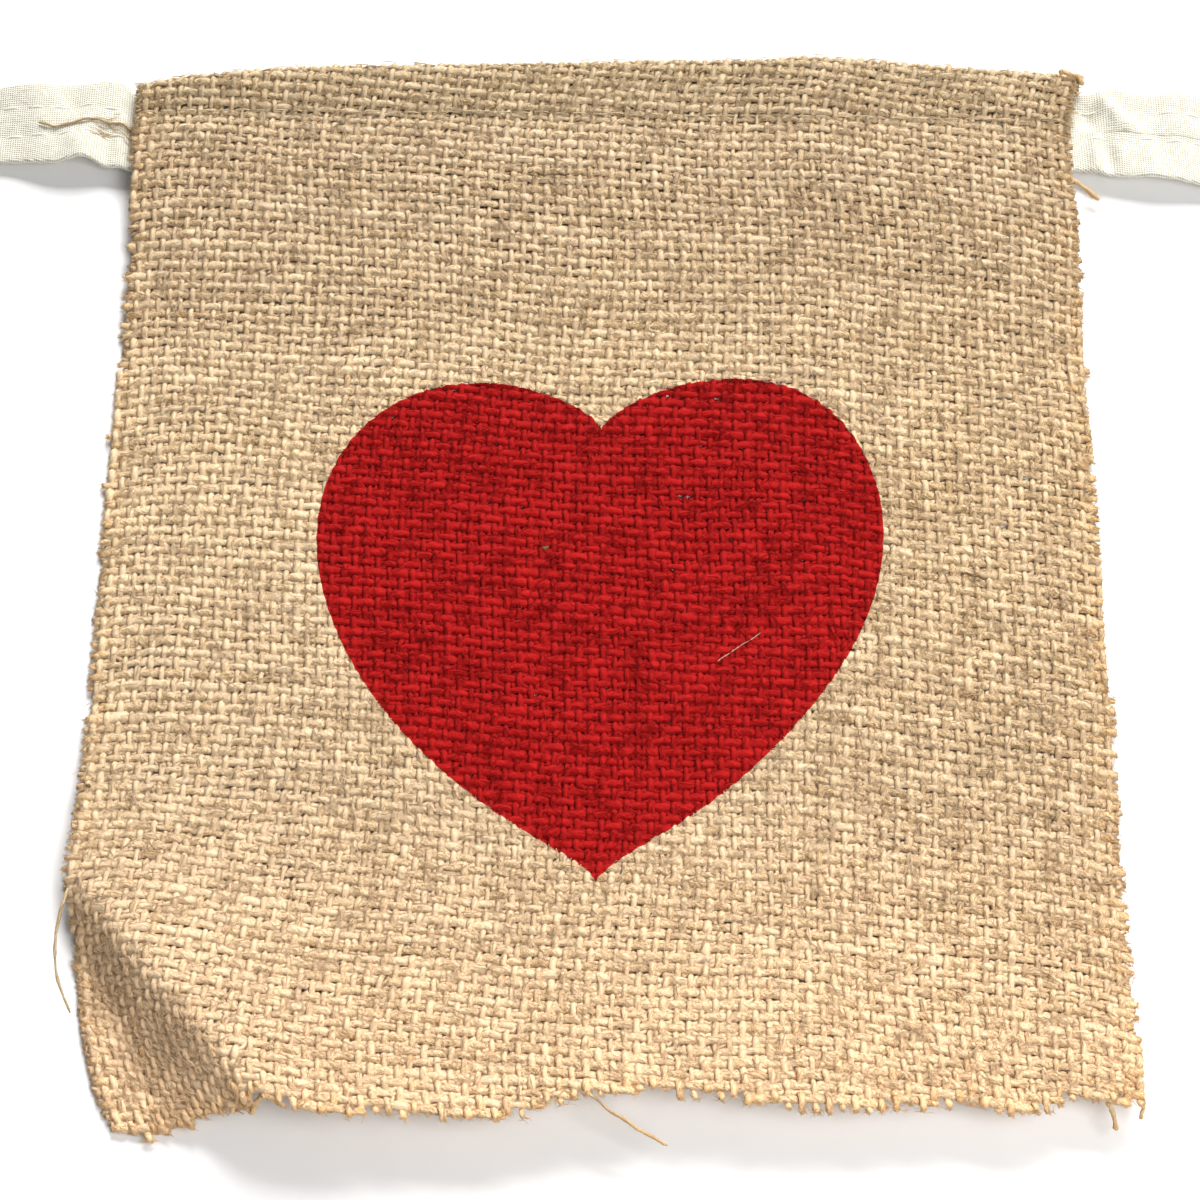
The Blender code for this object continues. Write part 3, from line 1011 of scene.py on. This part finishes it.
hem_stitches = Yarns(YARN_SIDES, 0.0)
for start in np.arange(-HALF_WIDTH + 1.0, HALF_WIDTH - 3.0, HEM_PITCH):
    a = start + HEM_LONG * steps
    s = cloth_lines(a)[1] + chance.normal(0, 0.10) + 0.12 * np.sin(a / 9.0)
    middle, up = on_cloth(a, s)
    middle = middle + up * (0.50 + 0.34 * np.sin(np.pi * steps))[:, None]
    lay_thread(hem_stitches, middle, up, HEM_THREAD)
hem_thread, nodes, links, shader = new_material("hem_thread", 0.75)
shader.inputs["Base Color"].default_value = HEM_COLOUR
hem_stitches.finish("hem_stitches", hem_thread, "flag")

# The loose yarns
# Some yarns have come out of the cut sides: each hangs on by one end or stands off in a loop, and
# is rubbed like the cut ends. A row is its thickness and how rubbed it is, then where it goes.
LOOSE_YARNS = {
    "left_loop": (
        (0.50, 0.30),
        (
            (-89.6, -68.0, 8.6),
            (-90.8, -72.5, 8.0),
            (-91.3, -78.5, 6.0),
            (-90.5, -83.5, 4.4),
            (-88.4, -88.0, 3.2),
        ),
    ),
    "notch_loop": (
        (1.00, 0.90),
        (
            (-60.0, -102.0, 9.6),
            (-58.2, -104.8, 7.8),
            (-56.8, -106.4, 7.2),
            (-55.8, -105.0, 8.6),
            (-54.4, -103.0, 10.0),
        ),
    ),
    "notch_end": ((0.80, 0.90), ((-56.5, -102.6, 10.6), (-54.0, -104.6, 10.4), (-51.0, -106.4, 9.2))),
    "bottom_middle": (
        (0.55, 0.80),
        ((-2.0, -103.5, 8.6), (2.0, -106.6, 7.8), (6.5, -109.2, 6.4), (11.0, -111.4, 5.6)),
    ),
    "bottom_right": ((0.95, 0.80), ((83.0, -101.5, 5.8), (83.8, -105.0, 5.0), (84.7, -108.6, 4.0))),
    "right_corner": (
        (0.85, 0.80),
        ((86.4, -99.5, 5.8), (88.4, -101.5, 5.2), (89.2, -104.5, 4.4), (88.6, -106.5, 3.8)),
    ),
    "right_top": (
        (1.00, 0.85),
        ((90.4, 79.8, 3.4), (92.4, 78.9, 2.8), (94.3, 77.7, 2.0), (96.0, 76.3, 1.4)),
    ),
    "top_corner": (
        (1.15, 0.85),
        ((89.6, 103.6, 5.5), (91.4, 103.0, 5.8), (93.2, 102.2, 5.7), (94.2, 100.6, 5.2)),
    ),
}


def through(stops, each):
    """Points on a smooth line through some stops, so many of them for each stop."""
    rows = {k: column for k, column in enumerate(np.array(stops).T)}
    rows["stop"] = np.arange(len(stops), dtype=float)
    place = np.linspace(0, len(stops) - 1, each * len(stops))
    return np.column_stack([smooth(rows, "stop", k, place) for k in range(len(stops[0]))])


def pointed(wide, n):
    """The thickness of a yarn at n points, half as much at its two ends."""
    wide = np.full(n, 1.0) * wide
    wide[[0, -1]] *= 0.5
    return wide


loose = Yarns(6, 0.14)
for (wide, rubbed_share), stops in LOOSE_YARNS.values():
    points = through(stops, 5)
    n = len(points)
    points += np.column_stack([uneven(n, 3, 0.10), uneven(n, 3, 0.10), uneven(n, 3, 0.05)])
    wide = pointed(wide * (1 + uneven(n, 3, 0.14)), n)
    lay_thread(loose, points, UPWARD, wide, uneven(n, 4, 0.7), rubbed_share)

# The strand on the tape
# A strand of jute and some stray fibres have come out of the left side of the hem, and lie on the
# turned-in calico beside it.
STRAND_THICK = 0.48
STRAND_FROM, STRAND_TO = -108.9, -90.5
STRAY_FIBRES = 50


def lay_on_tape(yarns, x, across, wide, tone, tint):
    """One fibre on top of the turned-in calico, through places along and across the tape."""
    n = len(x)
    up = FLAP_UP + CALICO_THICK / 2 + wide / 2 + np.abs(uneven(n, 3, 0.12))
    lay_thread(yarns, tape_point(x, across, up), UPWARD, pointed(wide, n), tone, tint)


STRAND = rows_of(
    "x across",
    (-108.9, -0.5),
    (-104.2, -1.2),
    (-101.2, -0.8),
    (-96.4, 0.1),
    (-93.8, 0.0),
    (-90.5, 0.2),
)
x = np.linspace(STRAND_FROM, STRAND_TO, 28)
lay_on_tape(loose, x, smooth(STRAND, "x", "across", x) + uneven(28, 3, 0.12), STRAND_THICK, -1.0, 0.35)
for _ in range(STRAY_FIBRES):
    x = chance.uniform(-99, -90.5) + np.linspace(0, chance.uniform(1.2, 4.0), 5)
    across = chance.normal(-1.2, 1.3) + np.linspace(0, chance.normal(0, 1.2), 5) + uneven(5, 2, 0.15)
    lay_on_tape(loose, np.minimum(x, -89.8), across, chance.uniform(0.06, 0.10), 5.0, 0.8)

# The stray hairs and specks
# Pale hairs and dark specks of bark lie on the face of the burlap, on the tops of its yarns, over
# the paint too. A row is the thickness and the tone, then the places across and down the flag.
STRAY_HEIGHT = 0.92
STRAYS = {
    "hair_upper": (0.13, 5, (-60.5, 74.0), (-58.0, 75.2), (-55.2, 75.5)),
    "hair_left": (0.13, 5, (-64.8, 86.8), (-63.3, 90.6), (-56.8, 91.9), (-51.0, 91.0)),
    "hair_hem": (0.13, 5, (-28.3, 7.2), (-27.9, 9.6), (-27.2, 12.0)),
    "hair_low_left": (0.14, 6, (-48.3, 153.7), (-46.1, 151.8), (-43.2, 151.0)),
    "hair_low_right": (0.12, 6, (38.1, 157.1), (40.1, 159.9), (40.6, 163.6), (38.8, 166.4), (40.8, 168.6)),
    "hair_middle": (0.13, 4, (20.9, 130.7), (24.0, 128.7), (28.5, 125.7)),
    "speck_right": (0.42, -12, (64.9, 111.7), (67.0, 112.1), (69.3, 113.1)),
    "speck_left": (0.60, -9, (-88.9, 150.6), (-88.0, 151.2)),
    "speck_hem": (0.40, -9, (15.0, 21.2), (16.2, 21.6)),
    "speck_upper": (0.22, -9, (-14.4, 28.2), (-11.0, 28.6), (-5.8, 28.2)),
    "speck_middle": (0.45, -9, (-10.4, 107.4), (-9.3, 107.8)),
}
for wide, tone, *stops in STRAYS.values():
    a, s = through(stops, 6).T
    n = len(a)
    middle, up = on_cloth(a + uneven(n, 3, 0.15), s + uneven(n, 3, 0.15))
    lay_thread(loose, middle + up * STRAY_HEIGHT, up, pointed(wide, n), tone)
loose.finish("loose_yarns", jute, "flag")
